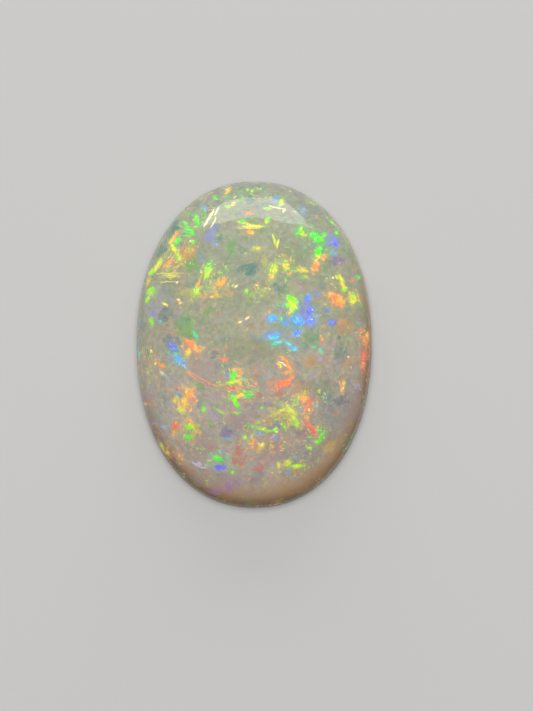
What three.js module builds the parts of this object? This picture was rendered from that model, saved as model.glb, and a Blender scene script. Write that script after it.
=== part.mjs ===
// Crystal opal: one oval stone, cut and polished as a smooth dome on a low side, with a flat base.
// Millimetres, +Z up. X runs across the stone and Y along it. The origin is the middle of its base.
import * as THREE from "three";

// The plan is a superellipse, a little fuller at its shoulders than an ellipse, whose power is 2.
const LENGTH = 35.0;
const WIDTH = 25.2;
const PLAN_POWER = 2.16;

// The profile, from the base up. Insets are measured across the stone, along X.
const HEIGHT = 8.4;
const BASE_BEVEL_INSET = 0.45;
const BASE_BEVEL_HEIGHT = 0.4;
const SIDE_HEIGHT = 1.5; // where the side ends, in a soft crease, and the dome begins
const SIDE_DRAFT = 0.2; // how far the side leans in by then
const DOME_REACH = 0.965; // share of the dome's own ellipse that shows: its foot is steep, but not upright

// How finely the solid is faceted.
const SECTORS = 88;
const DOME_RINGS = 24;

const ON_AXIS = 1e-6; // nearer the axis than this is on it

const HALF_WIDTH = WIDTH / 2;
const HALF_LENGTH = LENGTH / 2;

// Half the stone's profile, from the middle of the base round to the summit, as it is cut across X.
function profile() {
  const sideTop = HALF_WIDTH - SIDE_DRAFT;
  const points = [
    new THREE.Vector2(0, 0),
    new THREE.Vector2(HALF_WIDTH - BASE_BEVEL_INSET, 0),
    new THREE.Vector2(HALF_WIDTH, BASE_BEVEL_HEIGHT),
  ];
  const footAngle = Math.acos(DOME_REACH);
  const across = sideTop / DOME_REACH;
  const up = (HEIGHT - SIDE_HEIGHT) / (1 - Math.sin(footAngle));
  const centreHeight = HEIGHT - up;
  for (let i = 0; i <= DOME_RINGS; i++) {
    const angle = footAngle + ((Math.PI / 2 - footAngle) * i) / DOME_RINGS;
    const radius = i === DOME_RINGS ? 0 : across * Math.cos(angle);
    points.push(new THREE.Vector2(radius, centreHeight + up * Math.sin(angle)));
  }
  return points;
}

// How far the plan reaches from its middle in the direction (x, y).
function planReach(x, y) {
  const distance = Math.hypot(x, y);
  const across = Math.abs(x / distance / HALF_WIDTH) ** PLAN_POWER;
  const along = Math.abs(y / distance / HALF_LENGTH) ** PLAN_POWER;
  return (across + along) ** (-1 / PLAN_POWER);
}

// A turned solid of the profile, whose round plan is then drawn out to the stone's oval one.
function stoneGeometry() {
  const geometry = new THREE.LatheGeometry(profile(), SECTORS);
  geometry.rotateX(Math.PI / 2);
  const position = geometry.getAttribute("position");
  for (let i = 0; i < position.count; i++) {
    const x = position.getX(i);
    const y = position.getY(i);
    if (Math.hypot(x, y) > ON_AXIS) {
      const stretch = planReach(x, y) / HALF_WIDTH;
      position.setXY(i, x * stretch, y * stretch);
    } else {
      position.setXY(i, 0, 0);
    }
  }
  geometry.computeVertexNormals();
  return geometry;
}

const opalMaterial = new THREE.MeshStandardMaterial({
  color: 0xa39c86,
  roughness: 0.08,
  metalness: 0,
});

const opal = new THREE.Mesh(stoneGeometry(), opalMaterial);
opal.name = "opal_cabochon";

const crystalOpal = new THREE.Group();
crystalOpal.add(opal);

export default crystalOpal;
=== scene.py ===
import math

import bmesh
import bpy
from bpy.props import FloatProperty, FloatVectorProperty, PointerProperty
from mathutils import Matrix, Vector


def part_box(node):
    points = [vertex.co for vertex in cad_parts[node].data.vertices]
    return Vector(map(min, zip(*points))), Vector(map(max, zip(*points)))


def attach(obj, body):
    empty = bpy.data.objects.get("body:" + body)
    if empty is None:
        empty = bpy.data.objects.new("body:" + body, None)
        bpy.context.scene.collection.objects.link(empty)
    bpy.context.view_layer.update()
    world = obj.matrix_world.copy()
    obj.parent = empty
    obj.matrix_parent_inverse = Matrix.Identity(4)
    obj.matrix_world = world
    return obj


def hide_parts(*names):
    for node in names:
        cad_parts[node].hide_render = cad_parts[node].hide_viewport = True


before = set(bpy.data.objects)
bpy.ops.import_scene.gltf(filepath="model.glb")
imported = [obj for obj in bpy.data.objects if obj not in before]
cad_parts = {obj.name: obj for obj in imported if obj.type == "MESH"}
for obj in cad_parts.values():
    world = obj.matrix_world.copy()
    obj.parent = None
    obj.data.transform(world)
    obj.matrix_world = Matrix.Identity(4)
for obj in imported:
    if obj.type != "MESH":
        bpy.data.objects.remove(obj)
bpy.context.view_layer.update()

bl_info = {
    "name": "Crystal Opal",
    "version": (1, 0, 0),
    "blender": (4, 5, 0),
    "location": "3D View > Sidebar > Crystal Opal",
    "description": "Cuts an oval opal with a domed top and play of colour, and sets it on a plain stage",
    "category": "Add Mesh",
}

MM = 0.001
NODE = "opal_cabochon"
LOW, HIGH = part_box(NODE)

# How finely the stone is rounded.
SECTORS = 192
EDGE_RINGS = 6
SIDE_RINGS = 4
DOME_RINGS = 84

# How many ways a flash may lie, over a half turn: its turn is rounded to the nearest of them.
WAYS = 12

# How far a flash reaches above and below its middle where the dome is level, in millimetres, and the
# greatest share of its height above the base that it may reach.
FLASH_DEPTH = 0.5
DEEPEST = 0.85

# The strength of a flash that is clear. A weaker one is striped.
CLEAR = 1.0

# Farther out than any halo, in sizes of a flash.
FAR_OUT = 50.0

# How fine each pattern is: how many of it lie in a millimetre along the grain, across it and upwards.
PLATELETS = (2.2, 5.6, 3.0)
STRIPES = (1.1, 4.8, 1.5)
FAINT_STRIPES = (1.6, 6.5, 2.0)
STREAKS = (1.3, 6.0, 2.0)
FACETS = (1.3, 2.4, 1.6)
CHIPS = (2.8, 6.5, 4.0)

# The same for the flashes of the base, along X, Y and Z.
BASE_CHIPS = (0.8, 1.4, 1.0)

# How much opal bends light, and how far red, green and blue travel in it, against each other.
IOR = 1.45
SCATTER = (1.0, 0.75, 0.55)

# The softbox's width, height and distance from the stone, in metres.
SOFTBOX = (2.0, 0.58, 1.2)

# Where the soft light overhead hangs, and its width, in metres.
FILL_PLACE = (0, 0.1, 0.6)
FILL_WIDTH = 0.5

# The floor's width, in metres, and how matt it is.
FLOOR_WIDTH = 8.0
FLOOR_ROUGHNESS = 0.7

# What is nearer the camera than this doesn't show, in metres.
CLIP_START = 0.01

# The photograph's frame, and where the stone stands in it, in pixels.
FRAME_WIDTH = 533
FRAME_HEIGHT = 711
STONE_MIDDLE = (254.3, 344.8)
STONE_LENGTH = 325.8


def srgb(red, green, blue):
    """A colour given as it looks on a screen, from 0 to 255, as the linear light that shaders use."""
    shares = (value / 255 for value in (red, green, blue))
    return tuple(s / 12.92 if s <= 0.04045 else ((s + 0.055) / 1.055) ** 2.4 for s in shares)


# The tones of the soft mottling, by the level of the noise that they come at.
MOTTLES = (
    (0.34, srgb(120, 144, 144)),
    (0.45, srgb(158, 161, 142)),
    (0.54, srgb(180, 157, 140)),
    (0.66, srgb(168, 152, 172)),
)

# The colours of the flashes, in the order of the rainbow, and the hue, from 0 to 1, that each stands at.
RAINBOW = (
    ("red", 0.03, srgb(238, 108, 98)),
    ("scarlet", 0.12, srgb(253, 132, 92)),
    ("orange", 0.2, srgb(255, 164, 92)),
    ("amber", 0.29, srgb(250, 202, 96)),
    ("yellow", 0.38, srgb(240, 238, 76)),
    ("lime", 0.47, srgb(172, 244, 50)),
    ("green", 0.57, srgb(76, 246, 56)),
    ("jade", 0.67, srgb(70, 228, 124)),
    ("cyan", 0.75, srgb(98, 218, 222)),
    ("azure", 0.84, srgb(102, 168, 246)),
    ("blue", 0.9, srgb(110, 138, 252)),
    ("indigo", 0.96, srgb(112, 100, 252)),
    ("violet", 1.0, srgb(150, 124, 230)),
)

# The colours of the clouds and of the soft flakes, which lie deeper.
DEEP_COLOURS = {
    "teal": srgb(82, 130, 124),
    "slate": srgb(100, 120, 134),
    "leaf": srgb(108, 164, 84),
    "olive": srgb(134, 138, 112),
    "periwinkle": srgb(132, 140, 204),
    "sky": srgb(116, 160, 200),
    "mint": srgb(180, 220, 180),
    "smoke": srgb(126, 124, 108),
    "violet": srgb(124, 108, 168),
    "lilac": srgb(184, 172, 206),
    "orchid": srgb(222, 208, 240),
    "plum": srgb(172, 112, 192),
    "mauve": srgb(166, 144, 142),
    "yellow": srgb(214, 206, 84),
    "orange": srgb(238, 156, 92),
    "tan": srgb(196, 150, 100),
    "red": srgb(206, 106, 88),
}

# The clouds, the soft flakes and the flashes, by colour and strength. Each one is (x, y, length, breadth,
# turn): where its middle is and how large it is, in millimetres, and the angle from +X to its length, in
# degrees. A flash of strength 1.0 is clear, and a weaker one is striped.
CLOUDS = (
    ("mauve", 0.5, (
        (-5.5, -2.4, 4.5, 2.6, -25), (-6.0, -10.6, 4.0, 3.0, 0), (10.6, -6.8, 3.0, 1.6, 60),
        (-3.0, -14.5, 6.0, 2.0, 0), (2.0, -11.6, 3.0, 2.0, 0), (-1.6, -8.2, 3.0, 1.6, 0),
    )),
    ("tan", 0.45, (
        (8.3, -10.9, 2.6, 1.6, 60), (3.2, -7.9, 2.0, 1.4, 0), (9.7, 2.0, 2.2, 1.6, 0),
        (-10.2, -11.0, 2.0, 0.9, -60), (4.9, -4.6, 1.6, 1.2, 0), (6.4, -1.6, 2.6, 1.4, 0),
    )),
    ("olive", 0.5, (
        (7.1, -4.6, 3.0, 1.8, 0), (-0.5, -0.6, 6.0, 2.2, 0), (4.2, 9.6, 3.0, 2.4, 0),
    )),
    ("slate", 0.28, (
        (8.8, -7.0, 8.0, 4.0, 75), (5.5, -12.0, 5.0, 3.0, 45),
    )),
    ("smoke", 0.22, (
        (1.5, -5.0, 10.0, 5.0, 0), (3.0, -9.6, 9.0, 4.0, 0),
    )),
    ("lilac", 0.25, (
        (-10.6, 4.2, 3.4, 2.2, 80),
    )),
)

FLAKES = (
    ("teal", 0.8, (
        (-8.6, 12.3, 1.9, 1.1, 55), (-0.6, 8.1, 2.0, 1.3, 10), (-9.9, 10.2, 1.6, 0.5, 60),
    )),
    ("teal", 0.6, (
        (-0.5, 15.5, 1.2, 0.9, 0), (-3.8, 11.3, 0.7, 0.6, 0), (-1.3, 10.2, 1.4, 0.6, -50),
        (-4.2, 7.4, 0.6, 0.5, 0), (3.0, 5.8, 1.9, 1.0, -35), (-7.3, 2.7, 1.0, 0.7, 60),
    )),
    ("slate", 0.65, (
        (-9.5, 3.1, 1.7, 1.5, 10), (-8.7, 0.1, 2.3, 1.8, -40), (9.2, -6.0, 1.8, 1.2, 0),
        (-4.1, -1.1, 0.8, 0.5, 0), (9.1, 0.7, 0.6, 0.5, 0), (7.6, -5.5, 0.6, 0.35, 0),
        (-10.2, 8.6, 0.8, 0.3, 60),
    )),
    ("slate", 0.45, (
        (5.0, -9.2, 1.9, 1.3, 0),
    )),
    ("teal", 0.45, (
        (9.2, -0.8, 2.3, 1.7, 90),
    )),
    ("leaf", 0.4, (
        (6.0, 0.7, 1.9, 1.7, 0),
    )),
    ("leaf", 0.65, (
        (-0.2, 13.2, 1.1, 0.45, 0), (-2.5, 10.4, 1.8, 0.8, 80), (-6.7, 8.5, 1.8, 1.5, 0),
        (-7.3, 1.7, 2.8, 1.8, -50), (-4.9, 3.5, 1.0, 0.6, 60), (7.3, 13.4, 0.5, 0.4, 0),
        (11.9, 4.2, 0.9, 0.3, 100), (11.9, 3.2, 0.8, 0.25, 95), (-4.5, -8.4, 0.8, 0.4, 100),
        (7.4, 8.1, 0.8, 0.5, 60), (-5.8, -4.4, 0.9, 0.6, -30), (-5.1, 2.7, 0.9, 0.5, 20),
        (-3.4, -12.3, 0.6, 0.5, 0),
    )),
    ("teal", 0.3, (
        (6.6, 10.9, 2.4, 1.8, -60), (5.9, 0.9, 1.6, 1.2, 0),
    )),
    ("periwinkle", 0.6, (
        (-4.7, 11.6, 1.6, 1.0, 50), (-4.3, 12.4, 1.2, 0.6, 20), (8.3, 11.2, 1.5, 1.2, 0),
        (-5.7, 9.1, 0.6, 0.35, -50), (6.5, 5.5, 1.1, 0.6, 0), (5.1, 6.0, 0.6, 0.5, 0),
        (-10.8, 3.4, 0.7, 0.4, 90), (-12.1, 2.2, 1.1, 0.4, 80), (5.3, 3.4, 2.8, 2.0, 60),
        (7.0, -1.4, 0.9, 0.6, 0),
    )),
    ("sky", 0.5, (
        (1.8, 1.0, 2.8, 1.1, 10), (3.9, 2.4, 2.6, 1.2, 0),
    )),
    ("mint", 0.7, (
        (7.5, -5.4, 0.4, 0.35, 0), (6.4, -6.3, 0.45, 0.3, 60), (1.0, -5.6, 0.25, 0.25, 0),
        (-3.5, -11.4, 0.3, 0.5, 0),
    )),
    ("violet", 0.6, (
        (8.9, 9.0, 1.6, 0.9, 10), (8.3, 2.4, 0.9, 0.55, 0), (-2.9, -3.2, 0.8, 0.6, 60),
        (-8.0, -5.2, 0.6, 0.6, 0), (-2.9, -9.3, 1.4, 1.2, 0), (1.2, -6.3, 0.5, 0.5, 0),
        (2.6, -8.4, 0.9, 0.6, 30),
    )),
    ("lilac", 0.6, (
        (6.9, 3.2, 0.6, 0.5, 0), (-9.4, -3.3, 1.1, 0.5, -30), (-9.0, -3.8, 0.7, 0.4, -30),
        (11.0, -4.5, 1.0, 0.4, -20), (-7.3, -2.2, 0.7, 0.4, -40), (6.9, -1.3, 0.7, 0.4, 10),
        (2.0, -9.7, 0.5, 0.4, 0), (-4.3, -12.0, 0.3, 0.8, 0),
    )),
    ("yellow", 0.5, (
        (-11.9, -0.7, 1.0, 0.6, 60), (2.0, -7.1, 1.2, 0.7, 0), (-6.2, -9.1, 1.1, 0.8, 90),
        (5.1, 8.0, 1.1, 0.4, -10), (-3.0, 14.9, 0.5, 0.3, 0),
    )),
    ("yellow", 0.32, (
        (8.0, -10.9, 1.5, 1.1, 60), (1.2, -14.6, 1.3, 0.6, 90), (1.1, 9.0, 1.4, 0.8, 100),
        (-7.3, 5.4, 1.6, 0.9, 0),
    )),
    ("tan", 0.7, (
        (-7.2, 9.8, 2.2, 1.6, -20), (-9.2, -11.6, 1.2, 0.8, -30),
    )),
    ("orange", 0.38, (
        (-4.7, 5.3, 2.0, 0.8, 10), (9.4, 2.4, 0.9, 0.6, 0), (1.7, -3.9, 1.2, 0.8, 10),
        (9.9, -1.9, 1.4, 0.9, 0), (5.1, -11.1, 1.1, 0.2, 15), (8.1, -10.5, 0.9, 0.5, 30),
        (-10.9, -2.2, 0.8, 0.3, 0), (-10.9, -6.3, 0.7, 0.3, 0), (1.4, -7.9, 0.9, 0.5, 100),
        (-2.6, 5.4, 1.2, 0.8, 0),
    )),
    ("red", 0.55, (
        (2.7, -5.2, 1.0, 0.8, 0), (6.1, -2.0, 0.6, 0.5, 0), (-1.6, -12.1, 2.4, 1.3, 100),
        (0.6, -13.2, 1.2, 0.8, 0), (0.5, -5.4, 0.6, 0.4, 0), (2.0, -9.5, 0.5, 0.3, 45),
    )),
    ("red", 0.25, (
        (-7.1, -13.4, 1.2, 0.9, 0), (-4.8, -11.0, 0.9, 0.5, 0),
    )),
    ("plum", 0.65, (
        (-2.7, -15.1, 1.2, 0.6, -50), (-3.9, -15.6, 1.8, 0.5, 0), (-2.1, -14.6, 0.9, 0.4, -50),
    )),
    ("orchid", 0.9, (
        (-6.0, -12.6, 1.3, 0.35, -15), (-5.7, -13.0, 1.1, 0.22, -15), (-9.5, -3.1, 0.7, 0.25, -25),
        (-7.4, -2.1, 0.6, 0.35, -50),
    )),
)

FLASHES = (
    ("indigo", 1.0, (
        (-3.6, -13.05, 1.1, 0.55, 4), (5.8, 3.6, 0.9, 0.5, 90), (6.1, 2.4, 0.5, 0.4, 0),
        (8.2, 2.4, 0.7, 0.45, 0), (8.8, 10.7, 0.4, 0.3, 0),
    )),
    ("azure", 1.0, (
        (4.7, 2.5, 1.2, 0.9, -10), (1.9, 2.8, 0.8, 0.7, 0), (-8.0, -1.8, 1.0, 0.35, -40),
        (4.6, 1.3, 0.7, 0.5, 0), (5.7, 4.9, 0.5, 0.6, 0),
    )),
    ("cyan", 1.0, (
        (2.5, 0.25, 0.9, 0.35, 20), (4.1, -0.4, 0.7, 0.4, -20), (2.0, 0.8, 1.2, 0.5, 0),
        (-8.2, -1.3, 0.8, 0.25, -50), (7.0, -0.8, 0.4, 0.25, 0),
    )),
    ("green", 1.0, (
        (-3.9, -12.1, 1.1, 0.5, -20), (-2.0, -6.0, 1.5, 0.5, -55), (-0.7, -5.0, 1.0, 0.22, 0),
        (-0.6, -5.3, 1.0, 0.2, 0), (-0.8, -5.6, 0.8, 0.16, 0), (-8.2, 11.1, 0.8, 0.4, 60),
        (-6.1, 13.4, 0.9, 0.35, 100), (6.7, 11.4, 1.4, 0.65, -35), (6.9, 10.0, 1.2, 0.35, 62),
        (7.1, -9.7, 0.7, 0.35, 65), (-7.0, -9.8, 0.6, 0.4, 0), (5.0, 12.1, 0.8, 0.5, 100),
        (-6.9, 12.3, 1.1, 0.2, -30),
    )),
    ("lime", 1.0, (
        (4.0, 4.4, 1.5, 0.95, 100), (-10.9, 7.8, 0.9, 0.35, 50), (9.6, 6.0, 0.6, 0.4, -60),
        (4.6, -12.9, 1.0, 0.35, 5), (-6.8, -8.7, 0.6, 0.4, 40),
    )),
    ("yellow", 1.0, (
        (10.6, 4.9, 1.1, 0.7, 100), (-8.6, 10.3, 1.2, 0.35, 115), (0.2, 12.6, 1.6, 0.2, -6),
        (-10.4, 8.5, 1.1, 0.3, 65), (9.3, 6.9, 0.8, 0.3, -60),
    )),
    ("amber", 1.0, (
        (-7.4, -6.1, 0.9, 0.5, 55), (12.1, 0.9, 0.9, 0.45, 90), (-8.5, 11.5, 0.9, 0.3, 65),
    )),
    ("orange", 1.0, (
        (8.8, 4.8, 1.8, 0.95, -35), (-6.6, -0.1, 1.3, 0.5, -15), (6.6, 8.4, 1.0, 0.6, 75),
        (-6.8, -5.2, 1.1, 0.7, 80), (3.1, -1.5, 1.1, 0.25, -35), (3.8, -2.4, 1.0, 0.2, -55),
        (5.5, -5.7, 0.9, 0.6, 0), (-0.4, 11.9, 0.7, 0.3, 0),
    )),
    ("scarlet", 1.0, (
        (3.2, -3.9, 1.5, 0.5, 20), (5.7, -6.6, 1.1, 0.5, 90), (11.7, -1.3, 1.0, 0.5, 80),
        (-8.4, -8.6, 0.7, 0.45, 70), (-3.2, -1.6, 0.5, 0.3, 0),
    )),
    ("scarlet", 0.7, (
        (-6.3, -3.2, 1.9, 0.11, -35), (-6.4, -3.5, 1.4, 0.1, -35), (-5.2, -3.8, 1.8, 0.11, -30),
        (-5.5, -4.05, 1.5, 0.1, -30), (-4.3, -4.3, 1.2, 0.11, -20), (-6.9, -3.0, 0.5, 0.3, -35),
        (-0.5, 14.0, 0.8, 0.35, 5),
    )),
    ("blue", 0.85, (
        (8.7, 10.7, 0.6, 0.5, 0), (5.7, 4.9, 0.9, 0.6, 60), (6.0, 3.6, 0.8, 0.65, 80),
        (6.0, 2.5, 1.0, 0.8, 0), (-8.6, -0.2, 1.2, 0.8, -40), (-1.1, -3.6, 0.3, 0.3, 0),
        (-12.1, -5.7, 0.7, 0.2, -70), (4.7, 2.3, 1.2, 0.5, 10),
    )),
    ("azure", 0.5, (
        (-2.8, -10.0, 1.0, 0.2, 0), (5.2, 14.3, 0.8, 0.5, 100), (2.3, 15.5, 0.7, 0.5, 0),
        (0.5, -9.4, 1.1, 0.35, 0), (2.3, -9.9, 0.7, 0.35, -20), (-5.3, 14.6, 0.7, 0.3, -30),
        (4.3, -12.0, 0.35, 0.3, 0), (3.6, -13.6, 0.5, 0.3, 90),
    )),
    ("blue", 0.55, (
        (8.5, 11.0, 1.0, 0.8, 0), (-10.9, 3.3, 0.5, 0.3, 90), (7.7, 3.6, 0.6, 0.4, 0),
        (8.3, 2.4, 0.7, 0.5, 0), (-8.1, -5.3, 0.5, 0.4, 0), (-2.9, -3.3, 0.5, 0.5, 60),
    )),
    ("azure", 0.9, (
        (-4.1, 10.7, 0.4, 0.3, 0), (8.4, 9.8, 0.6, 0.5, 0), (4.6, 2.6, 1.5, 0.9, -10),
        (1.9, 2.7, 1.1, 0.7, 0), (3.2, 2.3, 0.6, 0.4, 0), (4.5, 1.2, 0.8, 0.6, 0),
        (1.9, 0.9, 1.3, 0.6, 0), (-7.9, -1.7, 1.6, 0.7, -40), (-9.7, -8.7, 0.6, 0.3, -40),
        (-10.8, -8.3, 0.4, 0.3, 0),
    )),
    ("cyan", 0.9, (
        (-6.2, 1.0, 1.0, 0.3, -55), (2.4, 0.2, 1.1, 0.45, 20), (3.7, 0.0, 1.1, 0.4, -40),
        (4.3, -0.4, 0.6, 0.5, 0), (-12.4, -0.8, 0.7, 0.3, 90), (-8.2, -1.2, 1.0, 0.45, -50),
        (7.1, -0.7, 0.6, 0.3, -60), (6.3, -0.2, 0.5, 0.25, 0), (-10.0, 2.5, 0.3, 0.25, 0),
        (-11.8, -7.1, 0.7, 0.2, -70),
    )),
    ("green", 0.95, (
        (-0.2, 16.4, 0.26, 0.14, 0), (0.7, 16.7, 0.3, 0.12, 30), (-4.2, 15.7, 0.5, 0.3, -30),
        (-7.4, 13.0, 0.6, 0.3, -45), (-7.2, 12.7, 1.0, 0.15, -45), (-7.0, 12.5, 1.3, 0.15, -30),
        (-7.0, 12.2, 1.3, 0.16, -30), (-6.9, 11.9, 1.2, 0.16, -15), (-7.0, 11.65, 1.0, 0.16, 0),
        (-6.5, 10.9, 0.5, 0.4, 0), (-8.2, 11.1, 0.9, 0.5, 60), (-4.7, 8.5, 0.6, 0.5, 100),
        (-1.2, 13.1, 0.6, 0.45, 0), (4.8, 12.2, 1.1, 0.6, 45), (6.6, 11.5, 1.5, 0.8, -35),
        (7.4, 11.7, 0.6, 0.4, 30), (6.9, 10.0, 1.6, 0.5, 62), (8.2, 13.2, 1.5, 0.14, -52),
        (8.8, 12.0, 0.5, 0.3, -45), (9.6, 5.9, 0.6, 0.5, 0), (11.1, 7.2, 0.5, 0.35, 0),
        (-2.2, -3.3, 1.0, 0.6, 60), (7.2, -9.8, 1.6, 0.45, 65), (6.9, -9.1, 0.5, 0.4, 0),
        (-7.0, -9.8, 0.9, 0.5, 0), (0.8, -6.7, 0.35, 0.3, 0), (-5.4, -6.8, 0.5, 0.4, 60),
        (-0.3, -8.7, 0.9, 0.2, -12),
    )),
    ("lime", 0.92, (
        (-2.8, 14.7, 0.7, 0.3, 0), (1.5, 14.5, 0.8, 0.3, 0), (1.4, 13.2, 0.7, 0.4, 45),
        (-10.9, 7.8, 1.0, 0.5, 50), (-11.4, 4.9, 1.0, 0.4, 80), (-4.9, 7.9, 1.5, 0.6, 80),
        (-11.0, 5.7, 1.0, 0.9, 0), (-6.2, 5.6, 1.2, 0.6, 70), (5.3, 7.2, 0.7, 0.3, -10),
        (8.9, 7.2, 0.6, 0.35, -30), (4.0, 4.4, 1.7, 1.05, 100), (-11.0, 2.5, 0.9, 0.4, 100),
        (2.9, 2.7, 0.3, 0.25, 0), (-7.8, -6.9, 0.9, 0.35, 0), (4.4, -6.0, 1.3, 0.4, 60),
        (4.3, -8.0, 1.6, 0.45, -60), (-6.8, -8.7, 0.9, 0.6, 40), (-3.5, -7.1, 0.8, 0.2, -35),
        (-1.8, -7.2, 0.6, 0.25, 0), (0.8, -8.9, 1.6, 0.35, -15), (0.5, -8.2, 0.4, 0.25, -30),
        (2.2, -9.0, 0.6, 0.3, 45), (-0.9, -9.9, 0.7, 0.4, -40), (6.6, -10.3, 0.7, 0.35, -20),
        (-2.3, -13.6, 0.4, 0.4, 0), (5.9, -11.0, 0.4, 0.3, 0), (4.6, -12.9, 1.3, 0.45, 5),
        (-0.8, 5.7, 0.5, 0.3, 60), (3.1, -8.6, 0.6, 0.3, -50),
    )),
    ("yellow", 0.9, (
        (2.9, 15.2, 0.8, 0.45, 80), (-8.6, 10.3, 1.4, 0.45, 115), (-8.1, 9.4, 1.1, 0.4, 125),
        (-10.2, 8.6, 1.6, 0.5, 65), (-9.2, 7.6, 3.0, 0.14, 0), (-9.0, 7.2, 2.2, 0.12, 0),
        (-9.3, 6.7, 1.8, 0.1, 0), (-9.5, 4.3, 0.6, 0.25, -30), (0.2, 10.2, 0.9, 0.35, 5),
        (2.1, 11.2, 1.2, 0.2, 100), (2.5, 10.7, 0.9, 0.18, 75), (2.0, 7.9, 1.3, 0.8, 80),
        (3.3, 8.4, 0.9, 0.7, 70), (-0.6, 12.8, 2.0, 0.25, -8), (-0.5, 12.4, 1.9, 0.22, -4),
        (5.3, 11.7, 0.6, 0.35, 0), (6.8, 9.3, 1.0, 0.4, 65), (10.5, 4.9, 1.2, 0.9, 100),
        (-2.1, -3.9, 1.8, 0.4, 20), (-7.2, -4.7, 0.7, 0.4, -40), (-8.3, -5.8, 0.8, 0.4, 60),
        (3.8, -6.9, 1.6, 0.5, -50), (3.0, -6.9, 1.0, 0.3, 10), (3.5, -12.6, 1.0, 0.6, 30),
        (2.6, -12.8, 0.6, 0.3, 90), (-9.9, -10.9, 0.8, 0.3, -60), (9.3, 6.9, 1.0, 0.4, -60),
        (-1.5, -5.4, 0.8, 0.4, 10),
    )),
    ("amber", 0.9, (
        (-2.8, 16.5, 0.8, 0.4, 60), (-2.2, 15.0, 0.5, 0.4, 70), (-8.7, 11.3, 1.2, 0.4, 65),
        (-11.3, 6.8, 1.2, 0.35, 80), (-8.1, 4.8, 0.4, 0.2, -30), (-7.8, 4.5, 0.4, 0.2, -30),
        (1.9, 7.4, 0.9, 0.6, 60), (5.2, 7.9, 1.0, 0.35, -15), (9.4, 6.4, 1.1, 0.45, -60),
        (11.0, 5.0, 0.9, 0.7, 90), (-0.7, 2.8, 0.6, 0.2, 35), (-1.5, 2.4, 0.5, 0.2, 20),
        (-11.0, -0.7, 0.3, 0.3, 0), (-7.0, -0.8, 1.0, 0.5, 60), (2.7, -2.2, 0.6, 0.25, -40),
        (-7.5, -6.3, 1.3, 0.8, 55), (9.4, -4.4, 1.2, 0.4, 75), (-8.5, -9.5, 0.8, 0.4, 70),
        (0.7, -10.9, 1.1, 0.5, 60), (-4.7, -12.3, 0.5, 0.2, 0), (-9.3, -11.5, 0.5, 0.3, -30),
        (-1.9, 6.2, 0.5, 0.15, 40), (0.3, 6.3, 0.4, 0.15, -20), (8.1, 5.4, 0.7, 0.4, -40),
    )),
    ("orange", 0.92, (
        (-8.3, 11.9, 0.5, 0.4, 60), (-0.4, 11.9, 0.9, 0.4, 0), (-9.1, 8.7, 1.5, 0.4, 50),
        (-5.9, 6.5, 1.0, 0.22, 82), (-3.5, 6.6, 1.1, 0.6, 40), (3.7, 7.5, 0.35, 0.3, 0),
        (7.4, 9.3, 0.8, 0.5, 60), (6.5, 8.3, 1.3, 0.75, 75), (8.8, 4.8, 1.8, 1.05, -35),
        (3.7, 3.4, 0.6, 0.4, 60), (7.2, 0.6, 0.7, 0.3, 100), (12.0, 0.5, 1.3, 0.6, 85),
        (-6.9, 0.4, 1.3, 0.35, -20), (-6.4, -0.3, 1.5, 0.6, -25), (-9.8, -2.2, 1.0, 0.35, -10),
        (-1.9, -2.6, 1.3, 0.3, 5), (-1.4, -3.0, 0.9, 0.3, 50), (-6.8, -5.1, 1.3, 0.9, 80),
        (3.2, -1.6, 1.4, 0.35, -40), (3.7, -2.4, 1.0, 0.25, -40), (3.4, -3.0, 0.5, 0.3, 0),
        (5.2, -5.7, 1.0, 0.6, 0), (5.6, -7.7, 0.6, 0.4, 60), (-6.9, -8.2, 1.0, 0.5, -30),
        (-0.2, -10.3, 1.4, 0.4, 90), (-7.9, -11.9, 1.0, 0.35, -60), (-11.6, -6.3, 0.5, 0.3, 0),
        (0.2, -4.1, 0.3, 0.3, 0),
    )),
    ("scarlet", 0.92, (
        (10.5, 6.9, 0.6, 0.4, 20), (11.4, 1.4, 1.3, 0.3, 10), (11.5, 0.8, 0.9, 0.25, 10),
        (-3.2, -1.6, 0.9, 0.4, -15), (3.1, -4.1, 1.7, 0.75, 15), (4.0, -3.4, 0.5, 0.35, 0),
        (11.7, -1.2, 1.0, 0.6, 75), (11.6, -2.1, 1.0, 0.5, 80), (5.7, -6.4, 1.8, 0.6, 90),
        (-8.4, -8.7, 0.9, 0.6, 70), (9.1, 4.3, 0.9, 0.5, -40),
    )),
    ("red", 0.85, (
        (-2.2, -4.6, 1.9, 0.3, 0), (-6.9, -6.7, 0.5, 0.3, 90), (6.1, -8.9, 1.9, 0.6, -52),
        (8.7, -7.3, 0.35, 0.3, 0), (6.5, -6.0, 0.7, 0.35, 60), (-3.0, -0.4, 0.25, 0.25, 0),
    )),
)

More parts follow.
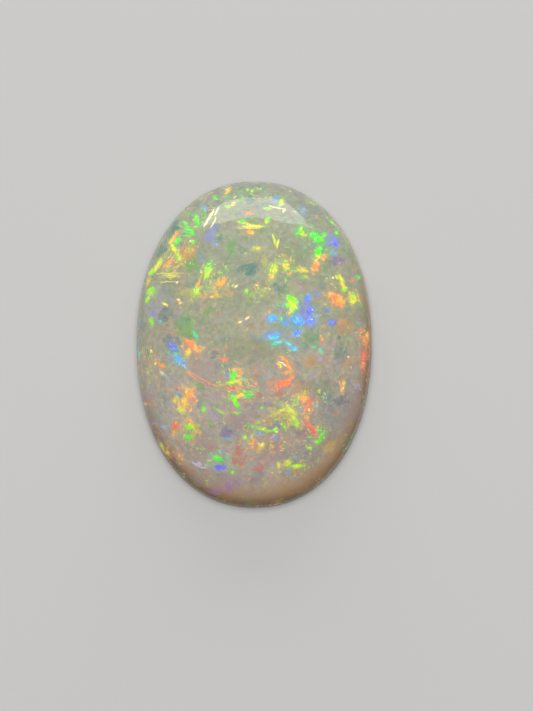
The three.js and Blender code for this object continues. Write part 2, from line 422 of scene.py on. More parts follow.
# Pale streaks and pinpoints on the dome, as above.
SPARKS = (
    (-4.8, 13.5, 2.4, 0.26, 60), (-4.3, 13.0, 1.4, 0.16, 60), (-4.0, 14.2, 1.2, 0.18, 60),
    (2.4, 14.6, 2.0, 0.14, -8), (3.2, 14.3, 0.5, 0.3, 60), (-9.5, 4.3, 0.5, 0.2, -30),
    (-8.1, 4.8, 0.3, 0.18, -30), (-7.8, 4.4, 0.3, 0.16, 30), (-0.7, 2.8, 0.5, 0.16, 35),
    (-1.5, 2.4, 0.4, 0.16, 20), (-1.9, 6.2, 0.4, 0.14, 40), (-9.0, 7.4, 2.0, 0.1, 0),
    (-0.6, 12.6, 1.6, 0.1, -6), (-11.0, -0.6, 0.25, 0.2, 0), (-8.2, 6.6, 0.3, 0.2, 20),
    (10.0, -1.3, 0.3, 0.2, 0), (9.5, -4.6, 0.4, 0.18, 70), (3.0, -2.0, 1.1, 0.14, -35),
    (6.1, 2.7, 0.16, 0.14, 0), (6.2, 3.7, 0.14, 0.2, 0), (0.9, -10.6, 0.5, 0.12, 70),
    (2.9, -11.2, 0.5, 0.1, 20), (-7.2, -5.0, 0.4, 0.14, 60), (5.8, -6.9, 0.3, 0.2, 80),
    (2.4, -9.2, 0.25, 0.2, 0), (-10.5, -2.0, 0.25, 0.2, 0), (-6.8, 11.0, 0.25, 0.2, 0),
    (8.4, 7.1, 0.25, 0.2, 0),
)

# The patches of the dome that are rich in small flecks, by the hue that most of them have, from 0 to 1,
# and their density. Each has one (x, y, length, breadth, turn) as above.
PATCHES = (
    (0.55, 0.4, (-6.2, 13.4, 4.2, 2.8, 30)), (0.34, 0.4, (-8.2, 9.3, 5.4, 3.4, 60)),
    (0.4, 0.42, (-4.3, 6.7, 5.4, 4.2, 30)), (0.44, 0.26, (3.0, 8.3, 4.4, 3.6, 0)),
    (0.52, 0.3, (6.8, 10.6, 4.4, 2.8, 120)), (0.3, 0.35, (9.4, 5.3, 4.4, 3.0, 0)),
    (0.92, 0.42, (4.6, 3.2, 5.4, 4.0, 0)), (0.88, 0.25, (3.4, 0.6, 4.6, 2.4, 165)),
    (0.2, 0.45, (3.5, -2.2, 3.4, 2.4, 135)), (0.15, 0.28, (3.4, -4.4, 4.6, 2.6, 15)),
    (0.2, 0.45, (-6.7, -0.6, 4.2, 2.2, 150)), (0.86, 0.35, (-8.4, -1.4, 3.2, 2.0, 135)),
    (0.3, 0.5, (-1.9, -4.4, 4.4, 4.0, 0)), (0.22, 0.6, (-7.4, -5.9, 3.8, 3.8, 0)),
    (0.35, 0.52, (-7.2, -9.1, 4.4, 3.6, 45)), (0.4, 0.48, (4.2, -7.0, 5.8, 5.0, 0)),
    (0.34, 0.38, (6.2, -9.7, 4.4, 3.2, 60)), (0.25, 0.4, (1.2, -10.2, 7.4, 4.0, 0)),
    (0.6, 0.35, (-3.5, -12.4, 5.4, 2.6, 165)), (0.32, 0.36, (4.0, -12.9, 5.6, 2.8, 15)),
    (0.25, 0.34, (-8.8, -11.3, 3.8, 2.8, 120)), (0.12, 0.5, (11.8, -0.6, 5.4, 1.8, 90)),
    (0.3, 0.35, (-11.0, -2.2, 4.2, 3.0, 90)), (0.25, 0.35, (9.4, -4.3, 4.4, 2.2, 75)),
    (0.5, 0.3, (-0.8, 16.0, 6.4, 1.8, 0)), (0.35, 0.35, (0.4, 5.6, 3.4, 2.2, 30)),
)


class OpalShape(bpy.types.PropertyGroup):
    """The stone's sizes."""

    width: FloatProperty(
        name="Width",
        description="Size of the stone across, at its widest",
        default=HIGH.x - LOW.x,
        min=4 * MM,
        unit="LENGTH",
    )
    length: FloatProperty(
        name="Length",
        description="Size of the stone along, at its longest",
        default=HIGH.y - LOW.y,
        min=4 * MM,
        unit="LENGTH",
    )
    height: FloatProperty(
        name="Height",
        description="From the flat base to the top of the dome",
        default=HIGH.z - LOW.z,
        min=2 * MM,
        unit="LENGTH",
    )
    plan_power: FloatProperty(
        name="Fullness",
        description="Power of the plan's curve: 2 is an ellipse, and more is fuller at the shoulders",
        default=2.16,
        min=1.5,
        max=4.0,
    )
    side_height: FloatProperty(
        name="Side height",
        description="From the base to the soft crease where the dome begins",
        default=1.5 * MM,
        min=0.5 * MM,
        unit="LENGTH",
    )
    side_draft: FloatProperty(
        name="Side lean",
        description="How far the side leans in below the dome",
        default=0.2 * MM,
        min=0.0,
        unit="LENGTH",
    )
    edge_inset: FloatProperty(
        name="Base edge inset",
        description="How far in the rounded edge of the base begins",
        default=0.45 * MM,
        min=0.05 * MM,
        unit="LENGTH",
    )
    edge_height: FloatProperty(
        name="Base edge height",
        description="How high the rounded edge of the base reaches",
        default=0.4 * MM,
        min=0.05 * MM,
        unit="LENGTH",
    )
    dome_reach: FloatProperty(
        name="Dome reach",
        description="Share of the dome's own ellipse that shows: less makes its foot less steep",
        default=0.965,
        min=0.7,
        max=0.999,
    )


def colour_setting(name, description, default):
    """A colour that the user can change."""
    return FloatVectorProperty(
        name=name,
        description=description,
        subtype="COLOR",
        default=default,
        min=0.0,
        max=1.0,
    )


class OpalLook(bpy.types.PropertyGroup):
    """The stone's colours, with its painted shade and highlight, and its finish."""

    # Painted shade: a darker grey-green at the +Y edge, which holds back the softbox's light there.
    far_edge_shade: colour_setting(
        "Far colour",
        "Darker grey-green at the stone's +Y edge, which faces the softbox",
        srgb(132, 138, 126),
    )
    # Partly the stone's own milky grey-green, and partly painted shade, darker to hold back the softbox's
    # light on the +Y end.
    top_tone_and_shade: colour_setting(
        "Top colour",
        "Milky grey-green at the stone's +Y end",
        srgb(145, 151, 130),
    )
    body_colour: colour_setting(
        "Body colour",
        "Olive grey at the middle of the stone",
        srgb(154, 157, 132),
    )
    low_colour: colour_setting(
        "Low colour",
        "Pinkish grey towards the stone's -Y end",
        srgb(174, 166, 156),
    )
    foot_colour: colour_setting(
        "Foot colour",
        "Warm brown where light that has passed through the stone comes out",
        srgb(184, 146, 99),
    )
    # Painted shade: the brown that darkens the stone's edge at -Y.
    edge_shade_colour: colour_setting(
        "Edge colour",
        "Brown of the stone's edge at -Y",
        srgb(84, 55, 34),
    )
    # Painted highlight: a tan line of light along the crease at +X.
    crease_highlight_colour: colour_setting(
        "Crease colour",
        "Tan of the thin line along the crease at +X",
        srgb(204, 162, 114),
    )
    bright_colour: colour_setting(
        "Bright colour",
        "Pale yellow of the brightest platelets, streaks and pinpoints",
        srgb(255, 244, 176),
    )
    roughness: FloatProperty(
        name="Polish",
        description="Mean roughness of the polished surface",
        default=0.04,
        min=0.0,
        max=1.0,
        subtype="FACTOR",
    )
    waviness: FloatProperty(
        name="Waviness",
        description="Height of the faint waves that polishing leaves",
        default=0.003 * MM,
        min=0.0,
        unit="LENGTH",
    )
    depth: FloatProperty(
        name="Milkiness depth",
        description="How far light travels inside the stone before it comes out",
        default=1.6 * MM,
        min=0.0,
        unit="LENGTH",
    )


class OpalStage(bpy.types.PropertyGroup):
    """The floor, lights and camera."""

    floor_colour: colour_setting(
        "Floor colour",
        "Colour of the plain floor",
        srgb(178, 177, 175),
    )
    softbox_strength: FloatProperty(
        name="Softbox",
        description="Brightness of the low, wide softbox at the +Y side",
        default=4.4,
        min=0.0,
    )
    fill_power: FloatProperty(
        name="Fill light",
        description="Power of the soft light overhead",
        default=4.0,
        min=0.0,
        unit="POWER",
    )
    sky_strength: FloatProperty(
        name="Sky light",
        description="Brightness of the even white light from all round",
        default=0.32,
        min=0.0,
    )
    camera_distance: FloatProperty(
        name="Camera height",
        description="From the floor to the camera",
        default=0.5,
        min=0.05,
        unit="LENGTH",
    )


def plan_reach(angle, half_width, half_length, power):
    """How far the plan reaches from its middle at an angle from +X."""
    across = abs(math.cos(angle) / half_width) ** power
    along = abs(math.sin(angle) / half_length) ** power
    return (across + along) ** (-1 / power)


def dome_arc(shape):
    """The dome's own ellipse as (half width, rise, centre's height, angle at its foot)."""
    foot = math.acos(shape.dome_reach)
    across = (shape.width / 2 - shape.side_draft) / shape.dome_reach
    rise = (shape.height - shape.side_height) / (1 - math.sin(foot))
    return across, rise, shape.height - rise, foot


def profile(shape):
    """The stone's half profile, cut across, from the edge of the flat base to just short of the summit."""
    half = shape.width / 2
    points = []
    for i in range(EDGE_RINGS + 1):
        angle = math.pi / 2 * i / EDGE_RINGS
        inward = shape.edge_inset * (1 - math.sin(angle))
        points.append((half - inward, shape.edge_height * (1 - math.cos(angle))))
    for i in range(1, SIDE_RINGS + 1):
        share = i / SIDE_RINGS
        side = shape.side_height - shape.edge_height
        points.append((half - shape.side_draft * share, shape.edge_height + side * share))
    across, rise, centre, foot = dome_arc(shape)
    for i in range(1, DOME_RINGS):
        angle = foot + (math.pi / 2 - foot) * i / DOME_RINGS
        points.append((across * math.cos(angle), centre + rise * math.sin(angle)))
    return points


def select_like_corners(mesh, spot, near):
    """Selects the vertices being edited that are near a spot of the plan, or near its mirror images."""
    form = bmesh.from_edit_mesh(mesh)
    for corner in form.verts:
        place = Vector((abs(corner.co.x), abs(corner.co.y)))
        corner.select = (place - spot).length < near
    form.select_flush(True)
    form.select_flush_mode()
    bmesh.update_edit_mesh(mesh)


def draw_out_plan(mesh, shape, radius):
    """Turns the round ring that is being edited into the stone's oval plan, four like corners at a time."""
    half_width = shape.width / 2
    for i in range(SECTORS // 4 + 1):
        angle = 2 * math.pi * i / SECTORS
        spot = Vector((abs(math.cos(angle)), abs(math.sin(angle)))) * radius
        reach = plan_reach(angle, half_width, shape.length / 2, shape.plan_power) / half_width
        select_like_corners(mesh, spot, radius / SECTORS)
        bpy.ops.transform.resize(value=(reach, reach, 1), center_override=(0, 0, 0))


def cut_stone(shape):
    """Models the stone ring by ring from its flat base to the summit of its dome, as one closed mesh."""
    rings = profile(shape)
    radius, height = rings[0]
    bpy.ops.object.select_all(action="DESELECT")
    bpy.ops.mesh.primitive_circle_add(vertices=SECTORS, radius=radius, fill_type="NGON")
    stone = bpy.context.object
    stone.name = stone.data.name = "opal_stone"
    bpy.ops.object.mode_set(mode="EDIT")
    bpy.ops.mesh.select_mode(type="VERT")
    draw_out_plan(stone.data, shape, radius)
    bpy.ops.mesh.select_all(action="SELECT")
    bpy.ops.mesh.inset(thickness=shape.edge_inset / 2)
    bpy.ops.mesh.select_all(action="SELECT")
    bpy.ops.mesh.region_to_loop()
    for next_radius, next_height in rings[1:]:
        bpy.ops.mesh.extrude_edges_move(TRANSFORM_OT_translate={"value": (0, 0, next_height - height)})
        share = next_radius / radius
        bpy.ops.transform.resize(value=(share, share, 1), center_override=(0, 0, next_height))
        radius, height = next_radius, next_height
    bpy.ops.mesh.extrude_edges_move(TRANSFORM_OT_translate={"value": (0, 0, shape.height - height)})
    bpy.ops.mesh.merge(type="CENTER")
    bpy.ops.mesh.select_all(action="SELECT")
    bpy.ops.mesh.normals_make_consistent(inside=False)
    bpy.ops.object.mode_set(mode="OBJECT")
    bpy.ops.object.shade_smooth()
    return stone


class Tree:
    """Adds nodes to a material's node tree and joins them up."""

    def __init__(self, material):
        self.tree = material.node_tree
        self.tree.nodes.clear()

    def add(self, kind, inputs=(), **settings):
        """One node, with its settings, and its inputs set to a value or joined to another node's output."""
        node = self.tree.nodes.new("ShaderNode" + kind)
        for name, value in settings.items():
            setattr(node, name, value)
        for key, value in dict(inputs).items():
            if isinstance(value, bpy.types.NodeSocket):
                self.tree.links.new(value, node.inputs[key])
            else:
                node.inputs[key].default_value = value
        return node

    def math(self, operation, *values):
        """A sum on numbers."""
        return self.add("Math", enumerate(values), operation=operation).outputs[0]

    def vector(self, operation, *values):
        """A sum on vectors."""
        return self.add("VectorMath", enumerate(values), operation=operation).outputs["Vector"]

    def scaled(self, vector, factor):
        """A vector made longer or shorter."""
        node = self.add("VectorMath", {0: vector, "Scale": factor}, operation="SCALE")
        return node.outputs["Vector"]

    def turned(self, vector, angle):
        """A place seen from axes that are turned about Z."""
        inputs = {"Vector": vector, "Angle": angle}
        return self.add("VectorRotate", inputs, rotation_type="Z_AXIS").outputs["Vector"]

    def fade(self, value, start, end, low=0.0, high=1.0, smooth=True):
        """A number that goes from low to high as the value goes from start to end, and no further."""
        inputs = {"Value": value, "From Min": start, "From Max": end, "To Min": low, "To Max": high}
        kind = "SMOOTHSTEP" if smooth else "LINEAR"
        return self.add("MapRange", inputs, interpolation_type=kind).outputs["Result"]

    def mix(self, factor, first, second, blend="MIX"):
        """Two colours mixed."""
        first, second = (c if isinstance(c, bpy.types.NodeSocket) else (*c, 1) for c in (first, second))
        inputs = {0: factor, 6: first, 7: second}
        return self.add("Mix", inputs, data_type="RGBA", blend_type=blend).outputs[2]

    def stretched(self, place, scale):
        """The inputs of a pattern whose scale is a number, or one for each axis."""
        if isinstance(scale, tuple):
            return {"Vector": self.vector("MULTIPLY", place, scale), "Scale": 1.0}
        return {"Vector": place, "Scale": scale}

    def noise(self, place, scale, detail=2.0, output="Fac"):
        """Soft noise, from 0 to 1."""
        inputs = {**self.stretched(place, scale), "Detail": detail}
        return self.add("TexNoise", inputs).outputs[output]

    def cells(self, place, scale):
        """Angular cells, each with its own random colour."""
        return self.add("TexVoronoi", self.stretched(place, scale)).outputs["Color"]

    def parts(self, colour):
        """A colour's red, green and blue, as numbers."""
        return self.add("SeparateColor", {"Color": colour}).outputs

    def ramp(self, value, stops):
        """A colour read off a scale of stops."""
        node = self.add("ValToRGB", {"Fac": value})
        scale = node.color_ramp.elements
        while len(scale) < len(stops):
            scale.new(0.5)
        for element, (place, colour) in zip(scale, stops):
            element.position = place
            element.color = (*colour, 1)
        return node.outputs["Color"]


class OpalTree(Tree):
    """The opal's nodes, with the places, in millimetres, and the patterns that its layers share."""

    def __init__(self, material, shape, look):
        super().__init__(material)
        self.shape = shape
        self.look = look
        self.place = self.scaled(self.add("TexCoord").outputs["Object"], 1 / MM)
        self.x, self.y, self.z = self.add("SeparateXYZ", {"Vector": self.place}).outputs
        wobble = self.vector("SUBTRACT", self.noise(self.place, 2.2, 3.0, "Color"), (0.5, 0.5, 0.5))
        self.ragged = self.vector("ADD", self.place, self.scaled(wobble, 0.6))

        # Platelets: thin cells that lie side by side, turned another way in each patch.
        self.patch = self.parts(self.cells(self.ragged, 0.5))
        self.grained = self.turned(self.ragged, self.math("MULTIPLY", self.patch[0], math.pi))
        self.platelet = self.parts(self.cells(self.grained, PLATELETS))
        self.stripes = self.fade(self.noise(self.grained, STRIPES, 1.0), 0.4, 0.58)

        # The places that flashes are measured from, which give them a ragged outline, and the ones that
        # the soft flakes are measured from, which give them a stepped outline.
        self.ways = self.turned_ways(self.vector("ADD", self.place, self.scaled(wobble, 0.32)))
        facets = self.vector("SUBTRACT", self.cells(self.grained, FACETS), (0.5, 0.5, 0.5))
        steps = self.vector("ADD", self.scaled(wobble, 0.3), self.scaled(facets, 0.55))
        self.stepped = self.vector("ADD", self.place, steps)

        # What makes the clouds, the patches and the halos uneven.
        self.haze = self.fade(self.noise(self.place, 1.6, 3.0), 0.3, 0.7, -0.45, 0.45, smooth=False)

    def turned_ways(self, place):
        """A place seen from axes turned by each step of a half turn."""
        return [self.turned(place, -math.pi * i / WAYS) for i in range(WAYS)]

    def rainbow(self, hue):
        """The colour of a flash of a hue from 0 to 1."""
        return self.ramp(hue, [(level, shade) for name, level, shade in RAINBOW])

    def nearness(self, ways, flashes):
        """How far the nearest flash of a group is: 0 at its middle, 1 at its edge, and more outside it."""
        nearest = None
        for x, y, length, breadth, turn in flashes:
            height, slope = dome_height(self.shape, x, y)
            way = round(turn / 180 * WAYS) % WAYS
            angle = math.pi * way / WAYS
            cos = math.cos(angle)
            sin = math.sin(angle)
            middle = (x * cos + y * sin, y * cos - x * sin, height)
            half = (length / 2, breadth / 2, min(FLASH_DEPTH + length / 2 * slope, DEEPEST * height))
            shift = [-m / h for m, h in zip(middle, half)]
            local = self.vector("MULTIPLY_ADD", ways[way], [1 / h for h in half], shift)
            distance = self.add("VectorMath", {0: local}, operation="LENGTH").outputs["Value"]
            nearest = distance if nearest is None else self.math("MINIMUM", nearest, distance)
        return nearest


def dome_height(shape, x, y):
    """The dome's height and steepness over a point of the plan, in millimetres."""
    across, rise, centre, foot = (value / MM for value in dome_arc(shape))
    half_width = shape.width / 2 / MM
    reach = plan_reach(math.atan2(y, x), half_width, shape.length / 2 / MM, shape.plan_power)
    radius = min(math.hypot(x, y) / reach * half_width / across, shape.dome_reach)
    up = math.sqrt(1 - radius * radius)
    return centre + rise * up, rise * radius / (across * up)


def body_colour(tree):
    """The milky body: grey-green at the +Y end, olive in the middle and pinkish at the -Y end, with painted
    shade that darkens the +Y end against the softbox's light, most at the edge.
    """
    look = tree.look
    along = tree.math("MULTIPLY_ADD", tree.noise(tree.place, 0.22, 3.0), 8.0, tree.y)
    return tree.ramp(
        tree.fade(along, -13.5, 21.5, smooth=False),
        (
            (0.0, look.low_colour),
            (0.36, look.low_colour),
            (0.56, look.body_colour),
            (0.7, look.top_tone_and_shade),
            (0.86, look.top_tone_and_shade),
            # Painted shade at the +Y edge.
            (1.0, look.far_edge_shade),
        ),
    )


def mottled(tree, colour):
    """A colour with soft clouds of other tones, and fine streaks that are lighter and darker."""
    tone = tree.ramp(tree.noise(tree.place, 0.6, 3.0), MOTTLES)
    strength = tree.fade(tree.noise(tree.place, 0.45, 2.0), 0.35, 0.6)
    strength = tree.math("MULTIPLY", strength, tree.fade(tree.y, 10.0, -4.0, 0.25, 0.5))
    colour = tree.mix(strength, colour, tone)
    streaks = tree.noise(tree.grained, STREAKS)
    grain = tree.math("ADD", tree.noise(tree.place, 1.9, 4.0), streaks)
    grain = tree.fade(grain, 0.7, 1.3, 0.85, 1.15, smooth=False)
    grey = tree.add("CombineColor", {0: grain, 1: grain, 2: grain}).outputs[0]
    return tree.mix(1.0, colour, grey, "MULTIPLY")


def warm_foot(tree, colour):
    """A colour made warm and brown towards the stone's foot, where light from the +Y side comes out."""
    # The warmth reaches highest at -Y and +X.
    above_base = tree.fade(tree.z, 0.0, 0.4, 0.25, 1.0)
    foot = tree.math("MULTIPLY_ADD", tree.x, -0.09, tree.math("MULTIPLY_ADD", tree.y, 0.16, tree.z))
    foot = tree.math("MULTIPLY", tree.fade(foot, 3.0, -0.5), above_base)
    patchy = tree.fade(tree.noise(tree.place, 0.55, 2.0), 0.35, 0.65, 0.75, 1.0)
    colour = tree.mix(tree.math("MULTIPLY", foot, patchy), colour, tree.look.foot_colour)

    # The edge at -Y is darkened with painted brown shade, and the crease at +X has a painted tan highlight
    # line.
    edge = tree.math("MULTIPLY", tree.fade(tree.z, 4.0, 1.0), above_base)
    lower_end = tree.fade(tree.math("MULTIPLY_ADD", tree.x, -0.5, tree.y), 5.0, -9.0, 0.0, 0.88)
    colour = tree.mix(tree.math("MULTIPLY", edge, lower_end), colour, tree.look.edge_shade_colour)
    right = tree.math("MULTIPLY", tree.fade(tree.x, 4.5, 9.0), tree.fade(tree.y, 6.0, -2.0, 0.0, 0.35))
    crease = tree.math("MULTIPLY", tree.fade(tree.z, 1.3, 1.5), tree.fade(tree.z, 2.0, 1.65))
    return tree.mix(tree.math("MULTIPLY", crease, right), colour, tree.look.crease_highlight_colour)


def with_clouds_and_flakes(tree, colour):
    """A colour with the clouds and the soft flakes that lie deep in the stone."""
    for name, strength, clouds in CLOUDS:
        near = tree.math("ADD", tree.nearness(tree.ways, clouds), tree.haze)
        colour = tree.mix(tree.fade(near, 1.8, 0.4, 0.0, strength), colour, DEEP_COLOURS[name])
    flake_ways = tree.turned_ways(tree.stepped)
    for name, strength, flakes in FLAKES:
        near = tree.math("MULTIPLY_ADD", tree.haze, 0.3, tree.nearness(flake_ways, flakes))
        level = tree.fade(tree.stripes, 0.0, 1.0, 0.6 * strength, strength)
        mask = tree.math("MULTIPLY", tree.fade(near, 1.25, 0.85), level)
        colour = tree.mix(mask, colour, DEEP_COLOURS[name])
    return colour


def flash_patterns(tree):
    """How strongly the flashes glow at each place, the hue they give it, and how far the nearest one is."""
    # Clear flashes are faintly striped. The others are striped strongly in some patches, and faintly in
    # others.
    gaps = tree.fade(tree.patch[1], 0.2, 0.8, 0.3, 0.85)
    stripe = tree.math("MULTIPLY_ADD", tree.stripes, tree.math("SUBTRACT", 1.0, gaps), gaps)
    faint_stripe = tree.fade(tree.noise(tree.grained, FAINT_STRIPES), 0.4, 0.55, 0.62, 0.97)
    ragged_edge = tree.math("MULTIPLY", tree.stripes, -0.25)
    ragged_edge = tree.math("MULTIPLY_ADD", tree.platelet[0], 0.5, ragged_edge)

    # Each place takes its hue from all the groups of flashes, mostly from the nearest ones.
    hue_of = {name: level for name, level, shade in RAINBOW}
    total = 0.0
    hues = 0.0
    glow = 0.0
    closest = FAR_OUT
    for name, strength, flashes in FLASHES:
        near = tree.nearness(tree.ways, flashes)
        weight = tree.math("POWER", near, -3.0)
        total = tree.math("ADD", weight, total)
        hues = tree.math("MULTIPLY_ADD", weight, hue_of[name], hues)
        closest = tree.math("MINIMUM", near, closest)
        if strength == CLEAR:
            edge = tree.math("MULTIPLY_ADD", ragged_edge, 0.5, near)
            shine = tree.math("MULTIPLY", tree.fade(edge, 1.2, 1.04), faint_stripe)
        else:
            edge = tree.math("ADD", ragged_edge, near)
            core = tree.fade(edge, 1.2, 0.5, 0.6 * strength, strength)
            shine = tree.math("MULTIPLY", tree.fade(edge, 1.32, 1.14), core)
            shine = tree.math("MULTIPLY", shine, stripe)
        glow = tree.math("MAXIMUM", shine, glow)
    return glow, tree.math("DIVIDE", hues, total), closest


def flash_colour(tree, hue):
    """A flash's colour: its hue drifts across it, and differs a little from one platelet to the next."""
    drift = tree.fade(tree.noise(tree.place, 0.9, 2.0), 0.25, 0.75, -0.12, 0.03, smooth=False)
    hue = tree.math("MULTIPLY_ADD", tree.platelet[1], 0.1, tree.math("ADD", hue, drift))
    shade = tree.rainbow(hue)
    bright = tree.fade(tree.stripes, 0.75, 1.0, 0.0, 0.35)
    bright = tree.math("MULTIPLY", bright, tree.fade(tree.platelet[2], 0.4, 0.9))
    return tree.mix(bright, shade, tree.look.bright_colour)


def with_flecks(tree, colour):
    """A colour with soft tints and small flecks, and the hue of the tints.

    Both are densest in the patches, and come in clusters elsewhere, more of them on the side.
    """
    side = tree.math("MULTIPLY", tree.fade(tree.z, 2.4, 1.4, 0.0, 0.3), tree.fade(tree.z, 0.1, 0.5))
    clusters = tree.fade(tree.noise(tree.place, 0.45, 2.0), 0.4, 0.65)
    density = tree.math("MULTIPLY_ADD", clusters, tree.math("ADD", side, 0.13), 0.03)
    hue = tree.fade(tree.noise(tree.place, 0.3, 1.0), 0.3, 0.7, 0.1, 0.75, smooth=False)
    for patch_hue, strength, spot in PATCHES:
        near = tree.math("ADD", tree.nearness(tree.ways, [spot]), tree.haze)
        mask = tree.fade(near, 1.35, 0.45)
        density = tree.math("MAXIMUM", tree.math("MULTIPLY", mask, strength), density)
        hue = tree.math("MULTIPLY_ADD", mask, tree.math("SUBTRACT", patch_hue, hue), hue)

    tints = tree.parts(tree.cells(tree.ragged, 1.5))
    tint_hue = tree.math("ADD", tree.fade(tints[0], 0.0, 1.0, -0.15, 0.13, smooth=False), hue)
    tint = tree.math("MULTIPLY", tree.fade(tints[1], 0.2, 1.0, 0.0, 0.42), density)
    colour = tree.mix(tint, colour, tree.rainbow(tint_hue))

    chip = tree.parts(tree.cells(tree.grained, CHIPS))
    fleck_hue = tree.math("ADD", tree.fade(chip[0], 0.0, 1.0, -0.09, 0.09, smooth=False), tint_hue)
    pale = tree.fade(chip[2], 0.8, 1.0, 0.0, 0.5)
    fleck_shade = tree.mix(pale, tree.rainbow(fleck_hue), tree.look.bright_colour)
    flecks = tree.math("SUBTRACT", tree.math("MULTIPLY", density, 0.7), chip[1])
    strength = tree.fade(chip[2], 0.0, 1.0, 0.2, 0.65, smooth=False)
    flecks = tree.math("MULTIPLY", tree.fade(flecks, 0.0, 0.12), strength)
    return tree.mix(flecks, colour, fleck_shade), tint_hue


def with_base_flashes(tree, colour, hue):
    """A colour with the base's own flashes, in clusters, a little larger than the flecks."""
    chunk = tree.parts(tree.cells(tree.stepped, BASE_CHIPS))
    rarity = tree.fade(tree.noise(tree.place, 0.3, 2.0), 0.38, 0.62, 0.97, 0.68)
    glow = tree.fade(tree.math("SUBTRACT", chunk[0], rarity), 0.0, 0.03)
    glow = tree.math("MULTIPLY", tree.fade(tree.z, 0.7, 0.3, 0.0, 0.85), glow)
    glow = tree.math("MULTIPLY", glow, tree.fade(tree.stripes, 0.0, 1.0, 0.3, 1.0))
    hue = tree.math("MULTIPLY_ADD", tree.math("SUBTRACT", chunk[1], 0.5), 0.4, hue)
    return tree.mix(glow, colour, tree.rainbow(hue))


def opal_material(shape, look):
    """Polished milky opal with play of colour."""
    material = bpy.data.materials.new("opal_play_of_colour")
    material.use_nodes = True
    tree = OpalTree(material, shape, look)
    colour = warm_foot(tree, mottled(tree, body_colour(tree)))
    colour = with_clouds_and_flakes(tree, colour)
    glow, hue, closest = flash_patterns(tree)
    shade = flash_colour(tree, hue)
    colour, tint_hue = with_flecks(tree, colour)
    colour = with_base_flashes(tree, colour, tint_hue)

    # A soft halo round each flash, then the flashes, and then the streaks and pinpoints.
    halo = tree.math("MULTIPLY", tree.fade(tree.math("ADD", closest, tree.haze), 2.6, 0.5), 0.2)
    colour = tree.mix(tree.math("MAXIMUM", halo, glow), colour, shade)
    sparks = tree.fade(tree.nearness(tree.ways, SPARKS), 1.15, 0.75, 0.0, 0.85)
    colour = tree.mix(sparks, colour, look.bright_colour)

    # The polish: a trace of waviness, and a little duller in some places than in others.
    swell = tree.noise(tree.place, 0.7, 3.0)
    waves = tree.add("Bump", {"Height": swell, "Strength": 1.0, "Distance": look.waviness})
    wear = tree.noise(tree.place, 1.3, 4.0)
    polish = tree.fade(wear, 0.3, 0.7, 0.5 * look.roughness, 1.5 * look.roughness)

    surface = tree.add(
        "BsdfPrincipled",
        {
            "Base Color": colour,
            "Roughness": polish,
            "Normal": waves.outputs["Normal"],
            "IOR": IOR,
            "Subsurface Weight": 1.0,
            "Subsurface Scale": look.depth,
            "Subsurface Radius": SCATTER,
        },
    )
    tree.add("OutputMaterial", {"Surface": surface.outputs["BSDF"]})
    return material


def add_floor(stage):
    """Lays the plain, matt floor."""
    bpy.ops.mesh.primitive_plane_add(size=FLOOR_WIDTH)
    floor = bpy.context.object
    floor.name = "floor"
    material = bpy.data.materials.new("plain_floor")
    material.use_nodes = True
    surface = material.node_tree.nodes["Principled BSDF"]
    surface.inputs["Base Color"].default_value = (*stage.floor_colour, 1)
    surface.inputs["Roughness"].default_value = FLOOR_ROUGHNESS
    floor.data.materials.append(material)


def add_softbox(stage):
    """Sets up the low, wide, six-sided softbox, whose reflection lies on the +Y end of the dome."""
    width, height, distance = SOFTBOX
    bpy.ops.object.select_all(action="DESELECT")
    bpy.ops.mesh.primitive_circle_add(vertices=6, radius=1.0, fill_type="NGON")
    softbox = bpy.context.object
    softbox.name = "softbox"
    bpy.ops.object.mode_set(mode="EDIT")
    bpy.ops.mesh.select_all(action="SELECT")
    # Two of its flats are drawn out to the height, and two of its corners to the width.
    flat = math.sin(math.radians(60))
    size = (height / 2 / flat, width / 2, 1)
    bpy.ops.transform.resize(value=size, center_override=(0, 0, 0))
    bpy.ops.object.mode_set(mode="OBJECT")
    softbox.rotation_euler = (math.radians(90), math.radians(90), 0)
    softbox.location = (0, distance, height / 2)
    light = bpy.data.materials.new("softbox_light")
    light.use_nodes = True
    tree = Tree(light)
    glow = tree.add("Emission", {"Color": (1, 1, 1, 1), "Strength": stage.softbox_strength})
    tree.add("OutputMaterial", {"Surface": glow.outputs["Emission"]})
    softbox.data.materials.append(light)
    softbox.visible_camera = False


def add_fill_light(stage):
    """Hangs the soft light overhead, which isn't mirrored in the polish."""
    bpy.ops.object.light_add(type="AREA", location=FILL_PLACE)
    lamp = bpy.context.object
    lamp.name = "fill"
    lamp.data.shape = "SQUARE"
    lamp.data.size = FILL_WIDTH
    lamp.data.energy = stage.fill_power
    lamp.rotation_euler = (-lamp.location).to_track_quat("-Z", "Y").to_euler()
    lamp.visible_glossy = False


def set_sky(scene, stage):
    """Gives the scene its even white light, and shows its colours plainly."""
    world = scene.world or bpy.data.worlds.new("world")
    scene.world = world
    world.use_nodes = True
    background = world.node_tree.nodes["Background"]
    background.inputs["Color"].default_value = (1, 1, 1, 1)
    background.inputs["Strength"].default_value = stage.sky_strength
    scene.view_settings.view_transform = "Standard"


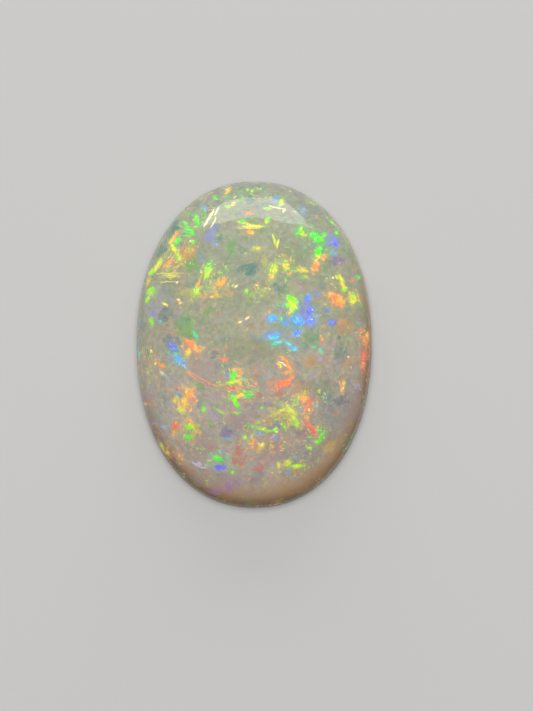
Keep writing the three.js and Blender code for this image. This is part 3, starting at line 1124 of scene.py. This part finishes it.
def set_camera(scene, stage):
    """Looks straight down, with +Y up the picture and the stone where the photograph has it."""
    pixel = (HIGH.y - LOW.y) / STONE_LENGTH
    bpy.ops.object.camera_add()
    camera = bpy.context.object
    camera.location = (
        (FRAME_WIDTH / 2 - STONE_MIDDLE[0]) * pixel,
        (STONE_MIDDLE[1] - FRAME_HEIGHT / 2) * pixel,
        stage.camera_distance,
    )
    camera.rotation_euler = (0, 0, 0)
    camera.data.lens = camera.data.sensor_width * stage.camera_distance / (FRAME_HEIGHT * pixel)
    camera.data.clip_start = CLIP_START
    scene.camera = camera


class OPAL_OT_cut_stone(bpy.types.Operator):
    """Cut and polish the opal, and give it its play of colour"""

    bl_idname = "opal.cut_stone"
    bl_label = "Cut Stone"

    def execute(self, context):
        shape = context.scene.opal_shape
        stone = cut_stone(shape)
        stone.data.materials.append(opal_material(shape, context.scene.opal_look))
        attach(stone, "root")
        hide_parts(NODE)
        return {"FINISHED"}


class OPAL_OT_set_stage(bpy.types.Operator):
    """Lay the floor, set up the lights and the sky, and aim the camera"""

    bl_idname = "opal.set_stage"
    bl_label = "Set Stage"

    def execute(self, context):
        stage = context.scene.opal_stage
        add_floor(stage)
        add_softbox(stage)
        add_fill_light(stage)
        set_sky(context.scene, stage)
        set_camera(context.scene, stage)
        return {"FINISHED"}


class OPAL_PT_sidebar(bpy.types.Panel):
    """Lists the steps and what each one reads"""

    bl_label = "Crystal Opal"
    bl_space_type = "VIEW_3D"
    bl_region_type = "UI"
    bl_category = "Crystal Opal"

    def draw(self, context):
        for step, settings in (
            (OPAL_OT_cut_stone.bl_idname, (context.scene.opal_shape, context.scene.opal_look)),
            (OPAL_OT_set_stage.bl_idname, (context.scene.opal_stage,)),
        ):
            box = self.layout.box()
            box.operator(step)
            for group in settings:
                for name in group.__annotations__:
                    box.prop(group, name)


CLASSES = (OpalShape, OpalLook, OpalStage, OPAL_OT_cut_stone, OPAL_OT_set_stage, OPAL_PT_sidebar)


def register():
    for cls in CLASSES:
        bpy.utils.register_class(cls)
    bpy.types.Scene.opal_shape = PointerProperty(type=OpalShape)
    bpy.types.Scene.opal_look = PointerProperty(type=OpalLook)
    bpy.types.Scene.opal_stage = PointerProperty(type=OpalStage)


def unregister():
    del bpy.types.Scene.opal_stage
    del bpy.types.Scene.opal_look
    del bpy.types.Scene.opal_shape
    for cls in reversed(CLASSES):
        bpy.utils.unregister_class(cls)


def main():
    register()
    bpy.ops.opal.cut_stone()
    bpy.ops.opal.set_stage()


if __name__ == "__main__":
    main()
